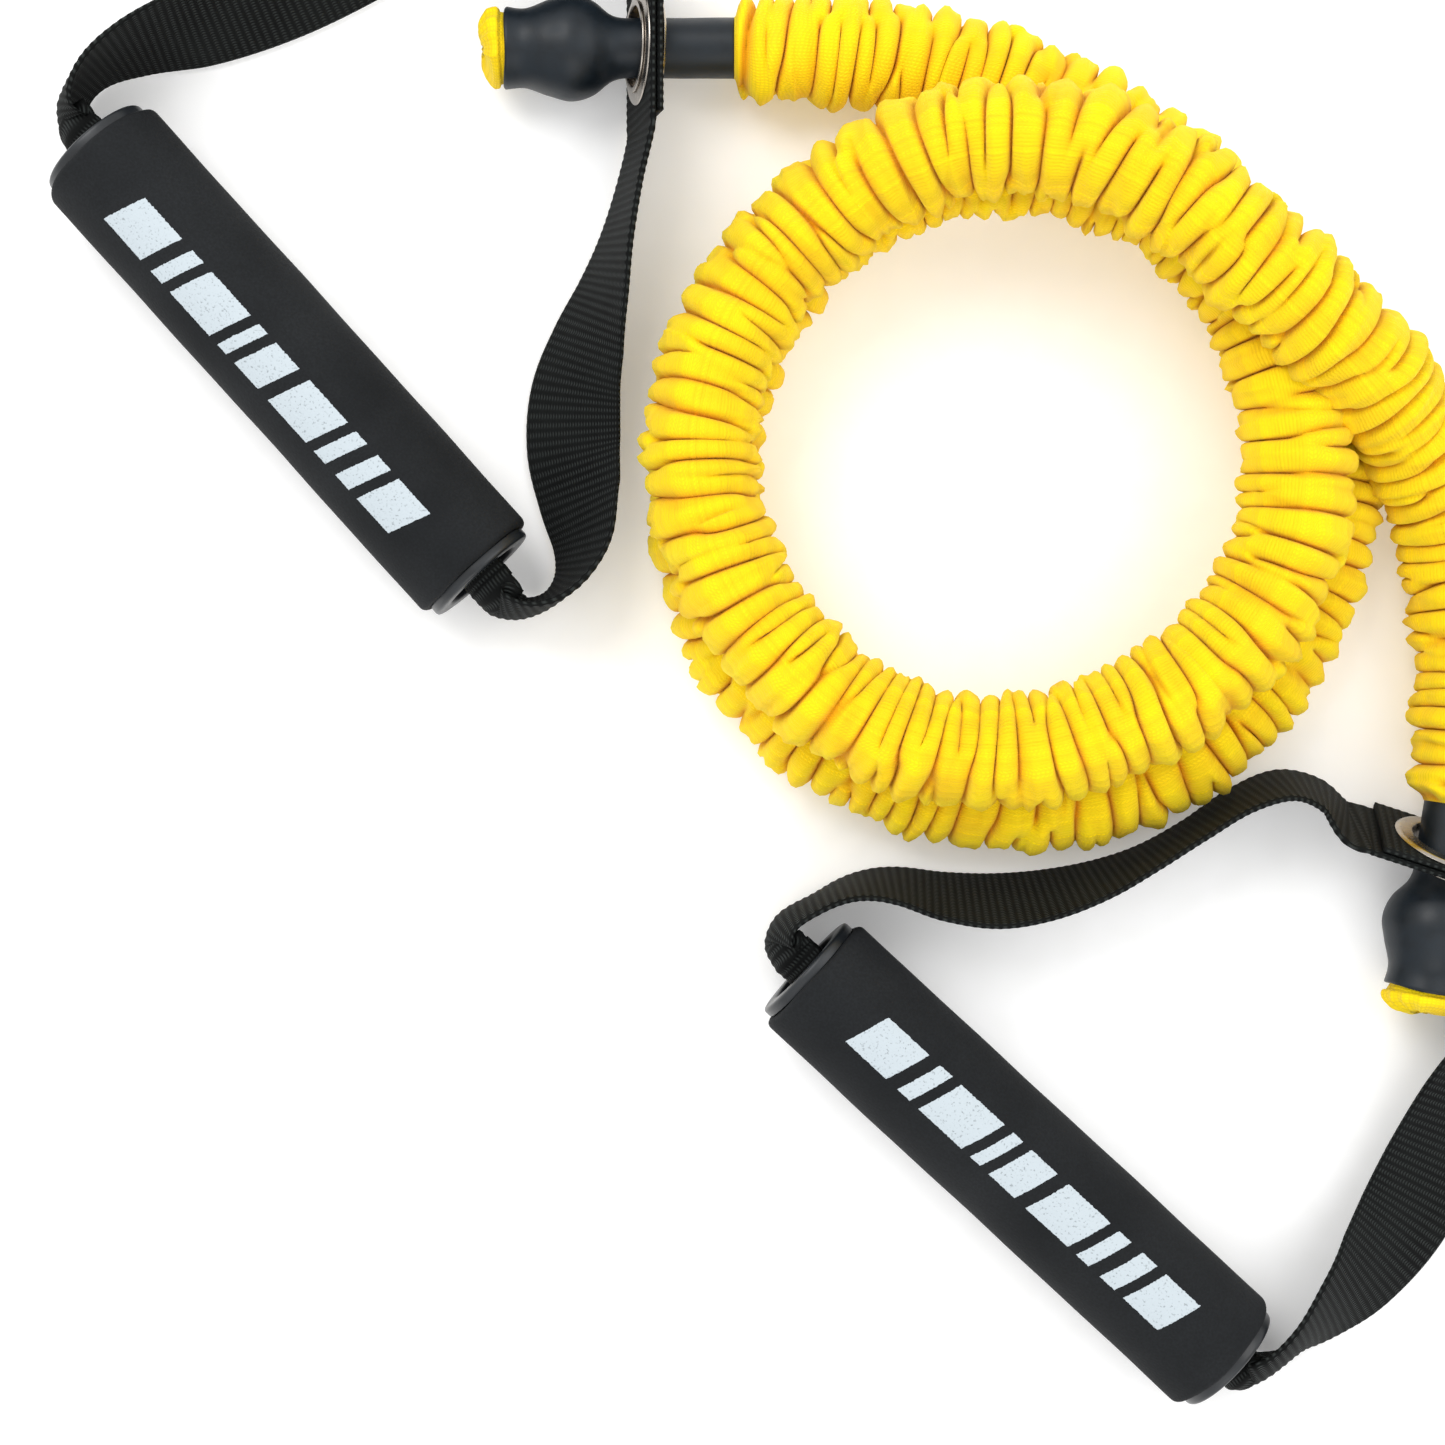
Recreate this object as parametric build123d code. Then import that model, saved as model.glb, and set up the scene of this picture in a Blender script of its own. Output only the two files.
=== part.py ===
# Resistance band: a ruched sleeve over a latex tube, coiled in two loose turns, with a webbing loop and a
# foam grip at each end. Millimetres. It lies on the plane z = 0, seen from above with +Y away from the reader.
from build123d import *
import math
import os

# Grip
grip_length = 130.0
foam_diameter = 32.0
foam_edge_radius = 2.5
core_diameter = 24.0
core_wall = 1.5
cap_flange_diameter = 28.0
cap_flange_thickness = 2.5
cap_spigot_length = 14.0
cap_spigot_wall = 1.0
grip_fit = 0.1

# Webbing loop
strap_width = 28.0
strap_thickness = 1.6
layer_gap = 0.15
strap_overhang = 17.0
curl_play = 2.1
curl_shift = 1.9
curl_drop = 0.6
mouth_gap = 2.0
mouth_lead = 2.0
layer_lead = 3.0
floor_gap = 0.5

# Eyelet
eyelet_bore = 18.5
eyelet_wall = 0.6
flange_diameter = 27.0
flange_thickness = 0.8
flange_step = 1.6
webbing_fit = 0.1

# Band end: a rubber sleeve over the end of the fabric sleeve, over the latex tube, over a ball
neck_diameter = 14.0
ball_bulge_diameter = 24.6
rim_diameter = 19.2
waist_diameter = 18.4
rubber_wall = 1.4
fabric_wall = 0.7
latex_wall = 2.2
layer_fit = 0.1
ball_fit = 0.15
ball_to_waist = 11.0
ball_to_rim = 15.0
tip_length = 5.5
neck_height = 13.6
eyelet_to_ball = 17.5

# Coil and tails
cord_diameter = 25.0
coil_strand_width = 26.0
lower_turn_height = 24.0
upper_turn_height = 22.0
lower_turn_radius = 74.0
upper_turn_radius = 70.0
lower_turn_center = (49.0, 37.0, 12.0)
upper_turn_center = (44.5, 43.0, 30.0)

# Places of the two ends. Headings are plan angles of the tip's direction, in degrees from +X.
left_neck_start = (-16.0, 139.0)
left_heading = 180.0
left_eyelet_at = 21.0
left_eyelet_lean = 13.5
left_eyelet_rest = 1.25
left_strap_heading = 90.0
right_neck_start = (152.0, -37.5)
right_heading = -99.15
right_eyelet_at = 11.3
right_eyelet_lean = -22.0
right_eyelet_rest = 2.05
right_strap_heading = 162.0

# Places of the two grips, as the middle of the axis and its plan angle
left_grip_center = (-120.0, 65.7)
left_grip_angle = -47.9
right_grip_center = (49.5, -121.0)
right_grip_angle = -42.8

# Outer lines of the webbing between its fixed ends: x, y, lean of the width and how far it is curled. They
# are drawn for a grip of rows_grip_length, and move with the ends of a longer or shorter one.
# A lean of 90 stands on edge, under 90 the right-hand edge is high, over 90 the left-hand edge is high.
rows_grip_length = 130.0
left_strap_out = [
    (-38.5, 164.0, 80, 0.0),
    (-47.0, 172.5, 84, 0.0),
    (-62.0, 174.5, 84, 0.0),
    (-82.0, 169.5, 74, 0.0),
    (-102.0, 160.5, 62, 0.0),
    (-122.0, 152.0, 56, 0.0),
    (-141.0, 144.5, 62, 0.0),
    (-156.0, 139.5, 76, 0.04),
    (-167.5, 133.5, 90, 0.12),
    (-173.3, 126.0, 96, 0.3),
    (-173.0, 119.0, 94, 0.6),
]
left_strap_back = [
    (-72.0, 6.8, 90, 0.6),
    (-65.5, 6.3, 88, 0.3),
    (-58.5, 9.5, 82, 0.12),
    (-53.5, 16.0, 72, 0.04),
    (-51.5, 24.5, 58, 0.0),
    (-52.5, 35.0, 44, 0.0),
    (-54.0, 46.5, 36, 0.0),
    (-53.5, 58.5, 38, 0.0),
    (-50.5, 70.5, 48, 0.0),
    (-47.0, 82.0, 61, 0.0),
    (-44.0, 93.5, 71, 0.0),
    (-40.8, 106.5, 76, 0.0),
]
right_strap_out = [
    (127.0, -42.0, 111, 0.0),
    (121.0, -35.5, 106, 0.0),
    (112.5, -33.0, 102, 0.0),
    (102.0, -36.5, 98, 0.0),
    (91.0, -43.5, 96, 0.0),
    (80.0, -50.0, 98, 0.0),
    (69.0, -55.0, 104, 0.0),
    (57.0, -58.5, 110, 0.0),
    (45.0, -60.0, 113, 0.0),
    (33.0, -59.0, 110, 0.0),
    (21.5, -56.5, 104, 0.0),
    (11.5, -56.5, 98, 0.04),
    (2.0, -59.7, 94, 0.12),
    (-5.8, -64.0, 92, 0.3),
    (-8.5, -70.3, 90, 0.6),
]
right_strap_back = [
    (103.0, -173.1, 92, 0.6),
    (109.0, -170.1, 100, 0.3),
    (116.5, -164.0, 112, 0.12),
    (125.0, -155.5, 128, 0.04),
    (133.5, -146.0, 144, 0.0),
    (141.5, -135.0, 154, 0.0),
    (148.5, -122.0, 155, 0.0),
    (155.0, -108.0, 148, 0.0),
    (161.5, -93.5, 134, 0.0),
    (167.0, -79.0, 118, 0.0),
    (169.0, -66.0, 112, 0.0),
]

# Middle line of the cord where it isn't coiled
left_tail_route = [
    (-16.0, 139.0, 13.6),
    (5.0, 139.0, 13.6),
    (28.0, 136.0, 13.0),
    (50.5, 129.5, 12.8),
    (72.5, 119.0, 12.8),
    (92.5, 105.0, 12.8),
]
right_tail_route = [
    (80.0, 101.0, 38.0),
    (98.0, 85.0, 44.0),
    (117.5, 70.0, 40.0),
    (135.0, 55.5, 28.0),
    (147.0, 37.5, 17.0),
    (153.5, 16.0, 13.4),
    (155.9, -5.5, 12.8),
    (154.9, -19.5, 13.6),
    (152.0, -37.5, 13.6),
]

strap_step = 6.0
strap_facets = 2

core_bore = core_diameter - 2 * core_wall
cap_bore = core_bore - 2 * grip_fit - 2 * cap_spigot_wall
grip_height = foam_diameter / 2
curl_radius = cap_bore / 2 - strap_thickness / 2 - curl_play
full_curl = strap_width / curl_radius
mouth_at = grip_length / 2 + cap_flange_thickness + mouth_gap
barrel_radius = eyelet_bore / 2 + eyelet_wall
stack_half = strap_thickness + layer_gap / 2
layer_offset = (strap_thickness + layer_gap) / 2
eyelet_play = (eyelet_bore - neck_diameter) / 2
foam_wall = (foam_diameter - core_diameter) / 2 - grip_fit
rows_stretch = (grip_length - rows_grip_length) / 2


def flat_direction(angle):
    return Vector(math.cos(math.radians(angle)), math.sin(math.radians(angle)), 0)


def ring(outer, inner, bottom, top):
    outside = Cylinder(outer / 2, top - bottom, align=(Align.CENTER, Align.CENTER, Align.MIN))
    inside = Cylinder(inner / 2, top - bottom, align=(Align.CENTER, Align.CENTER, Align.MIN))
    return Pos(0, 0, bottom) * (outside - inside)


def turned(outline):
    """A body turned about Z from an outline of (radius, height) corners."""
    points = [(radius, 0, height) for radius, height in outline]
    face = make_face(Polyline(*points, close=True))
    return revolve(face, Axis.Z)


def foam_grip():
    body = ring(foam_diameter, core_diameter + 2 * grip_fit, -grip_length / 2, grip_length / 2)
    rims = body.edges().filter_by(GeomType.CIRCLE).sort_by(lambda edge: edge.radius)[-2:]
    return fillet(rims, min(foam_edge_radius, 0.8 * foam_wall))


def grip_core():
    return ring(core_diameter, core_bore, -grip_length / 2, grip_length / 2)


def grip_cap():
    inner = cap_bore / 2
    spigot = core_bore / 2 - grip_fit
    flange = cap_flange_diameter / 2
    soft = cap_flange_thickness * 0.35
    face_height = grip_length / 2
    top = face_height + cap_flange_thickness
    outline = [
        (inner, face_height - cap_spigot_length),
        (spigot, face_height - cap_spigot_length),
        (spigot, face_height),
        (flange, face_height),
        (flange, top - soft),
        (flange - soft, top),
        (inner + soft, top),
        (inner, top - soft),
    ]
    return turned(outline)


def grip_place(center, angle):
    origin = (center[0], center[1], grip_height)
    return Plane(origin=origin, x_dir=(0, 0, 1), z_dir=flat_direction(angle)).location


def end_outline(ball_at):
    """Heights and radii of the rubber sleeve's outside, from the neck's start to its rim."""
    neck = neck_diameter / 2
    bulge = ball_bulge_diameter / 2
    waist = waist_diameter / 2
    rim = rim_diameter / 2
    return [
        (neck, 0.0),
        (neck, ball_at - 14.0),
        (neck + 0.15 * (bulge - neck), ball_at - 9.5),
        (neck + 0.72 * (bulge - neck), ball_at - 5.5),
        (bulge, ball_at),
        (waist + 0.62 * (bulge - waist), ball_at + 5.0),
        (waist, ball_at + ball_to_waist),
        (rim, ball_at + ball_to_rim),
    ]


def shell_body(ball_at, outer_inset, inner_inset):
    """One layer of the band end, between two depths below the outside."""
    outline = end_outline(ball_at)
    sides = []
    for inset in (outer_inset, inner_inset):
        points = [(radius - inset, 0, height) for radius, height in outline]
        straight = Line(points[0], points[1])
        curve = Spline(*points[1:], tangents=[(0, 0, 1), (0.2, 0, 1)])
        sides.append((straight, curve, points))
    start = Line(sides[0][2][0], sides[1][2][0])
    stop = Line(sides[0][2][-1], sides[1][2][-1])
    edges = [sides[0][0], sides[0][1], stop, sides[1][1], sides[1][0], start]
    return revolve(make_face(Curve() + edges), Axis.Z)


def end_sleeve(ball_at):
    return shell_body(ball_at, 0, rubber_wall)


def sleeve_end(ball_at):
    outer = rubber_wall + layer_fit
    inner = outer + fabric_wall
    rim_radius = rim_diameter / 2 - outer
    rim_at = ball_at + ball_to_rim
    tip = turned([
        (0, rim_at),
        (rim_radius, rim_at),
        (rim_radius + 0.6, rim_at + 1.0),
        (rim_radius + 0.4, rim_at + tip_length * 0.5),
        (rim_radius * 0.75, rim_at + tip_length * 0.9),
        (rim_radius * 0.4, rim_at + tip_length),
        (0, rim_at + tip_length),
    ])
    return shell_body(ball_at, outer, inner) + tip


def tube_end(ball_at):
    outer = rubber_wall + fabric_wall + 2 * layer_fit
    return shell_body(ball_at, outer, outer + latex_wall)


def stop_ball(ball_at):
    depth = rubber_wall + fabric_wall + latex_wall + 2 * layer_fit + ball_fit
    return Pos(0, 0, ball_at) * Sphere(ball_bulge_diameter / 2 - depth)


def end_place(start, heading):
    origin = (start[0], start[1], neck_height)
    return Plane(origin=origin, x_dir=(0, 0, 1), z_dir=flat_direction(heading)).location


def eyelet_frame(start, heading, eyelet_at, rise, lean, strap_heading):
    """Middle of the eyelet, the webbing's direction, its width direction and its normal to the tip side."""
    middle = Vector(start[0], start[1], neck_height + rise) + flat_direction(heading) * eyelet_at
    along = flat_direction(strap_heading)
    width = strap_width_direction(along, 90 - lean)
    return middle, along, width, width.cross(along)


def eyelet():
    """The flanged barrel, pressed through both layers from the sleeve side and rolled over at the far side."""
    inner = eyelet_bore / 2
    flange = flange_diameter / 2
    lip = stack_half + flange_thickness
    outline = [
        (inner, -lip),
        (flange - 0.4, -lip + 0.25),
        (flange, -stack_half),
        (barrel_radius, -stack_half),
        (barrel_radius, lip + 0.3),
        (inner, lip + 0.3),
    ]
    return turned(outline)


def eyelet_washer():
    """The ring on the tip side, stepped up to the barrel's end."""
    inner = barrel_radius + 0.05
    flange = flange_diameter / 2
    outline = [
        (inner, stack_half),
        (flange, stack_half),
        (flange - 0.4, stack_half + 0.55),
        (inner + flange_step, stack_half + flange_thickness),
        (inner, stack_half + flange_thickness),
    ]
    return turned(outline)


def strap_width_direction(along, lean):
    right = along.cross(Vector(0, 0, 1)).normalized()
    up = right.cross(along).normalized()
    return right * math.cos(math.radians(lean)) + up * math.sin(math.radians(lean))


def strap_height(lean, curl):
    """Height of the webbing's middle that keeps its lower edge just off the floor."""
    half = strap_width / 2
    if curl > 0:
        radius = curl_radius / curl
        half = radius * math.sin(min(math.pi / 2, strap_width / 2 / radius))
    slope = math.radians(lean)
    low = half * abs(math.sin(slope)) + strap_thickness / 2 * abs(math.cos(slope)) + floor_gap
    return low * (1 - curl) + (grip_height - curl_drop) * curl


def smooth_value(near, far, slope_near, slope_far, run, share):
    """A value on the smooth curve from one station to the next, a run of that length away."""
    rise = far - near
    square = 3 * rise - (2 * slope_near + slope_far) * run
    cube = (slope_near + slope_far) * run - 2 * rise
    return near + slope_near * run * share + square * share**2 + cube * share**3


def strap_stations(eyelet_place, layer_sides, out_rows, back_rows, center, angle):
    """Points of the webbing's middle line with lean and curl, from one cut end round to the other."""
    middle, along, width, normal = eyelet_place
    lean = math.degrees(math.atan2(width.Z, width.dot(along.cross(Vector(0, 0, 1)))))
    axis = flat_direction(angle)
    aside = axis.cross(Vector(0, 0, 1)) * (curl_radius - curl_shift)
    bore_middle = Vector(center[0], center[1], grip_height - curl_drop) + aside
    stations = []
    first = middle + normal * (layer_offset * layer_sides[0])
    last = middle + normal * (layer_offset * layer_sides[1])
    for shift in (-strap_overhang, 0, strap_overhang, strap_overhang + layer_lead):
        point = first + along * shift
        stations.append((point.X, point.Y, point.Z, lean, 0.0))
    for index, (x, y, row_lean, curl) in enumerate(out_rows):
        stretch = axis * (-rows_stretch * (index + 1) / len(out_rows))
        stations.append((x + stretch.X, y + stretch.Y, strap_height(row_lean, curl), row_lean, curl))
    for shift, curl in ((-mouth_at - mouth_lead, 0.92), (-mouth_at, 1), (-mouth_at + 6, 1),
                        (mouth_at - 6, 1), (mouth_at, 1), (mouth_at + mouth_lead, 0.92)):
        point = bore_middle + axis * shift
        stations.append((point.X, point.Y, point.Z, 90.0, curl))
    for index, (x, y, row_lean, curl) in enumerate(back_rows):
        stretch = axis * (rows_stretch * (len(back_rows) - index) / len(back_rows))
        stations.append((x + stretch.X, y + stretch.Y, strap_height(row_lean, curl), row_lean, curl))
    for shift in (-strap_overhang - layer_lead, -strap_overhang, 0, strap_overhang):
        point = last + along * shift
        stations.append((point.X, point.Y, point.Z, lean, 0.0))
    return stations


def strap_line(stations):
    """The stations joined by a smooth curve, cut into short steps."""
    count = len(stations)
    runs = [math.dist(near[:3], far[:3]) for near, far in zip(stations, stations[1:])]
    slopes = []
    for index in range(count):
        low = max(index - 1, 0)
        high = min(index + 1, count - 1)
        reach = sum(runs[low:high])
        slopes.append([(far - near) / reach for near, far in zip(stations[low], stations[high])])
    line = []
    for index, run in enumerate(runs):
        in_bore = stations[index][4] == 1 and stations[index + 1][4] == 1
        steps = 1 if in_bore else math.ceil(run / strap_step)
        for step in range(steps):
            parts = zip(stations[index], stations[index + 1], slopes[index], slopes[index + 1])
            line.append(tuple(smooth_value(*part, run, step / steps) for part in parts))
    line.append(stations[-1])
    print("webbing length", round(sum(runs)), "sections", len(line))
    return line


def strap_section(point, along, lean, curl):
    width = strap_width_direction(along, lean)
    inward = width.cross(along)
    outer = []
    inner = []
    for facet in range(-strap_facets, strap_facets + 1):
        reach = strap_width / 2 * facet / strap_facets
        turn = 0.0
        place = point + width * reach
        if curl > 0.01:
            radius = curl_radius / curl
            turn = reach / radius
            place = point + width * (radius * math.sin(turn)) + inward * (radius * (1 - math.cos(turn)))
        normal = inward * math.cos(turn) - width * math.sin(turn)
        outer.append(place - normal * (strap_thickness / 2))
        inner.append(place + normal * (strap_thickness / 2))
    return outer + inner[::-1]


def skin(sections):
    """A closed solid of flat triangles over a run of sections that have as many corners each."""
    faces = []
    for near, far in zip(sections, sections[1:]):
        corners = len(near)
        for corner in range(corners):
            following = (corner + 1) % corners
            faces.append(Face(Wire.make_polygon([near[corner], near[following], far[following]])))
            faces.append(Face(Wire.make_polygon([near[corner], far[following], far[corner]])))
    for end in (sections[0], sections[-1]):
        faces.append(Face(Wire.make_polygon(end)))
    return Solid(Shell(faces))


def strap(eyelet_place, layer_sides, out_rows, back_rows, center, angle):
    line = strap_line(strap_stations(eyelet_place, layer_sides, out_rows, back_rows, center, angle))
    sections = []
    for index, (x, y, z, lean, curl) in enumerate(line):
        before = Vector(*line[max(index - 1, 0)][:3])
        after = Vector(*line[min(index + 1, len(line) - 1)][:3])
        along = (after - before).normalized()
        sections.append(strap_section(Vector(x, y, z), along, lean, curl))
    body = skin(sections)
    middle, along, width, normal = eyelet_place
    hole_place = Plane(origin=middle, x_dir=along, z_dir=normal).location
    hole = hole_place * Cylinder(barrel_radius + webbing_fit, 4 * stack_half)
    return body - hole


def coil():
    """Two loose turns lying on each other, each a flattened ring."""
    turns = []
    for place, radius, height in (
        (lower_turn_center, lower_turn_radius, lower_turn_height),
        (upper_turn_center, upper_turn_radius, upper_turn_height),
    ):
        section = Plane.XZ * Pos(radius, 0) * Ellipse(coil_strand_width / 2, height / 2)
        turns.append(Pos(*place) * revolve(section, Axis.Z))
    return turns[0] + turns[1]


def tail(route):
    """A plain tube of straight runs and arcs, each arc as large as its two runs allow."""
    points = [Vector(*place) for place in route]
    radii = []
    for before, here, after in zip(points, points[1:], points[2:]):
        first = here - before
        second = after - here
        half_turn = math.radians(first.get_angle(second)) / 2
        radii.append(0.45 * min(first.length, second.length) / math.tan(half_turn))
    print("radii of the tail's arcs:", [round(radius) for radius in radii])
    path = FilletPolyline(*route, radius=radii)
    start = Plane(origin=path @ 0, z_dir=path % 0)
    body = sweep(start * Circle(cord_diameter / 2), path=path)
    print("length", round(path.length, 1), "volume share", round(body.volume / path.length
          / (math.pi * cord_diameter**2 / 4), 3))
    return body


sides = {
    "left": {
        "start": left_neck_start,
        "heading": left_heading,
        "eyelet_at": left_eyelet_at,
        "rise": eyelet_play - left_eyelet_rest,
        "lean": left_eyelet_lean,
        "strap_heading": left_strap_heading,
        "layers": (-1, 1),
        "out": left_strap_out,
        "back": left_strap_back,
        "center": left_grip_center,
        "angle": left_grip_angle,
    },
    "right": {
        "start": right_neck_start,
        "heading": right_heading,
        "eyelet_at": right_eyelet_at,
        "rise": eyelet_play - right_eyelet_rest,
        "lean": right_eyelet_lean,
        "strap_heading": right_strap_heading,
        "layers": (1, -1),
        "out": right_strap_out,
        "back": right_strap_back,
        "center": right_grip_center,
        "angle": right_grip_angle,
    },
}

nodes = {
    "coil": coil(),
    "left_tail": tail(left_tail_route),
    "right_tail": tail(right_tail_route),
}

for side, place in sides.items():
    at_grip = grip_place(place["center"], place["angle"])
    nodes[side + "_foam_grip"] = at_grip * foam_grip()
    nodes[side + "_grip_core"] = at_grip * grip_core()
    nodes[side + "_front_cap"] = at_grip * grip_cap()
    nodes[side + "_back_cap"] = at_grip * Rot(180, 0, 0) * grip_cap()

    ball_at = place["eyelet_at"] + eyelet_to_ball
    at_end = end_place(place["start"], place["heading"])
    nodes[side + "_end_sleeve"] = at_end * end_sleeve(ball_at)
    nodes[side + "_sleeve_end"] = at_end * sleeve_end(ball_at)
    nodes[side + "_tube_end"] = at_end * tube_end(ball_at)
    nodes[side + "_stop_ball"] = at_end * stop_ball(ball_at)

    around = eyelet_frame(place["start"], place["heading"], place["eyelet_at"], place["rise"],
                          place["lean"], place["strap_heading"])
    at_eyelet = Plane(origin=around[0], x_dir=around[1], z_dir=around[3]).location
    nodes[side + "_eyelet"] = at_eyelet * eyelet()
    nodes[side + "_eyelet_washer"] = at_eyelet * eyelet_washer()
    nodes[side + "_strap"] = strap(around, place["layers"], place["out"], place["back"],
                                   place["center"], place["angle"])

os.makedirs("parts", exist_ok=True)
for name, body in nodes.items():
    export_step(body, f"parts/{name}.step")
    print(name, round(body.volume))
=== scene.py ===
import bmesh
import bpy
import math
import numpy as np
from mathutils import Matrix, Vector


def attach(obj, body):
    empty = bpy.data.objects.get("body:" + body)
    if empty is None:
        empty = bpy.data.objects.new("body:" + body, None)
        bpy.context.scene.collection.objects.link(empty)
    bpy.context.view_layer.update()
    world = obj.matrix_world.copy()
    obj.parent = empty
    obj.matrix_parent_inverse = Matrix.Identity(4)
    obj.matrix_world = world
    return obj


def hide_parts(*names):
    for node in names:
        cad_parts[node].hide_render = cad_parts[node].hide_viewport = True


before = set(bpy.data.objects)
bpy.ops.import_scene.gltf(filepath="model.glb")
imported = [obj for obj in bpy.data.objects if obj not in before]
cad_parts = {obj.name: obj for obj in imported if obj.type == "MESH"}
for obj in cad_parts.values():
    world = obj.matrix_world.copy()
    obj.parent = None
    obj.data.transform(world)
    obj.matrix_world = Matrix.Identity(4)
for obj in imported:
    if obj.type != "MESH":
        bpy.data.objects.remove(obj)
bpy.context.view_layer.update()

mm = 0.001
print("frame loaded")


def linearColour(hexText):
    channels = [int(hexText[i:i + 2], 16) / 255 for i in (0, 2, 4)]
    linear = [c / 12.92 if c <= 0.04045 else ((c + 0.055) / 1.055) ** 2.4 for c in channels]
    return (*linear, 1.0)


def addNode(tree, kind, inputs=None, **settings):
    node = tree.nodes.new(kind)
    for name, value in settings.items():
        setattr(node, name, value)
    for socket, value in (inputs or {}).items():
        if isinstance(value, bpy.types.NodeSocket):
            tree.links.new(value, node.inputs[socket])
        else:
            node.inputs[socket].default_value = value
    return node


def newMaterial(name):
    material = bpy.data.materials.new(name)
    material.use_nodes = True
    tree = material.node_tree
    tree.nodes.clear()
    return material, tree, addNode(tree, "ShaderNodeTexCoord").outputs["Object"]


def shaded(material, inputs):
    tree = material.node_tree
    shader = addNode(tree, "ShaderNodeBsdfPrincipled", inputs)
    addNode(tree, "ShaderNodeOutputMaterial", {"Surface": shader.outputs["BSDF"]})
    return material


def maths(tree, operation, *values):
    return addNode(tree, "ShaderNodeMath", dict(enumerate(values)), operation=operation).outputs[0]


def noise(tree, place, scale, detail, roughness=0.5):
    inputs = {"Vector": place, "Scale": scale, "Detail": detail, "Roughness": roughness}
    return addNode(tree, "ShaderNodeTexNoise", inputs).outputs["Fac"]


def remap(tree, value, fromLow, fromHigh, toLow, toHigh, **settings):
    inputs = {0: value, 1: fromLow, 2: fromHigh, 3: toLow, 4: toHigh}
    return addNode(tree, "ShaderNodeMapRange", inputs, **settings).outputs[0]


def mixed(tree, factor, first, second, blend="MIX"):
    inputs = {"Factor": factor, "A": first, "B": second}
    node = addNode(tree, "ShaderNodeMix", inputs, data_type="RGBA", blend_type=blend)
    return node.outputs["Result"]


def bump(tree, height, strength, distance, under=None):
    inputs = {"Height": height, "Strength": strength, "Distance": distance}
    if under is not None:
        inputs["Normal"] = under
    return addNode(tree, "ShaderNodeBump", inputs).outputs["Normal"]


def twoTone(tree, factor, low, high, fromValue, toValue):
    ramp = addNode(tree, "ShaderNodeValToRGB", {"Fac": factor})
    ramp.color_ramp.elements[0].position = fromValue
    ramp.color_ramp.elements[1].position = toValue
    ramp.color_ramp.elements[0].color = linearColour(low)
    ramp.color_ramp.elements[1].color = linearColour(high)
    return ramp.outputs["Color"]


def bands(tree, uv, direction, period, distortion):
    # Waves whose crests lie one period apart, in metres
    inputs = {"Vector": uv, "Scale": 2 * math.pi / (20 * period), "Distortion": distortion, "Detail": 1.0}
    return addNode(tree, "ShaderNodeTexWave", inputs, bands_direction=direction).outputs["Fac"]


# The camera looks straight down, with +Y up the frame
cameraSet = {"over": (-0.019, -0.0185), "height": 0.72, "frameWidth": 0.344, "sensor": 36.0}
cameraData = bpy.data.cameras.new("topCamera")
cameraData.sensor_width = cameraSet["sensor"]
cameraData.lens = cameraSet["sensor"] * cameraSet["height"] / cameraSet["frameWidth"]
camera = bpy.data.objects.new("topCamera", cameraData)
camera.location = (*cameraSet["over"], cameraSet["height"])
bpy.context.scene.collection.objects.link(camera)
bpy.context.scene.camera = camera


def meshPiece(name, points, faces, material, body):
    mesh = bpy.data.meshes.new(name)
    mesh.from_pydata([tuple(point) for point in points], [], faces)
    mesh.materials.append(material)
    mesh.polygons.foreach_set("use_smooth", [True] * len(mesh.polygons))
    mesh.update()
    piece = bpy.data.objects.new(name, mesh)
    bpy.context.scene.collection.objects.link(piece)
    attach(piece, body)
    return piece


def setUvs(piece, uvs):
    layer = piece.data.uv_layers.new(name="fabric")
    loops = np.empty(len(piece.data.loops), dtype=np.int64)
    piece.data.loops.foreach_get("vertex_index", loops)
    layer.data.foreach_set("uv", np.asarray(uvs, dtype=np.float32)[loops].ravel())


def setValue(piece, name, values):
    layer = piece.data.attributes.new(name, "FLOAT", "POINT")
    layer.data.foreach_set("value", np.asarray(values, dtype=np.float32))


# Ruched sleeve: nylon and elastane knit, gathered on the relaxed latex tube
knitSet = {
    "light": "FFE200",
    "deep": "FFD200",
    # Painted shade: the colour laid into the creases between folds
    "crease": "EDA600",
    "sheen": "FFF0A0",
    "ribPitch": 0.00105,
    "stitchPitch": 0.0008,
    "reliefDepth": 0.00022,
}


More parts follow.
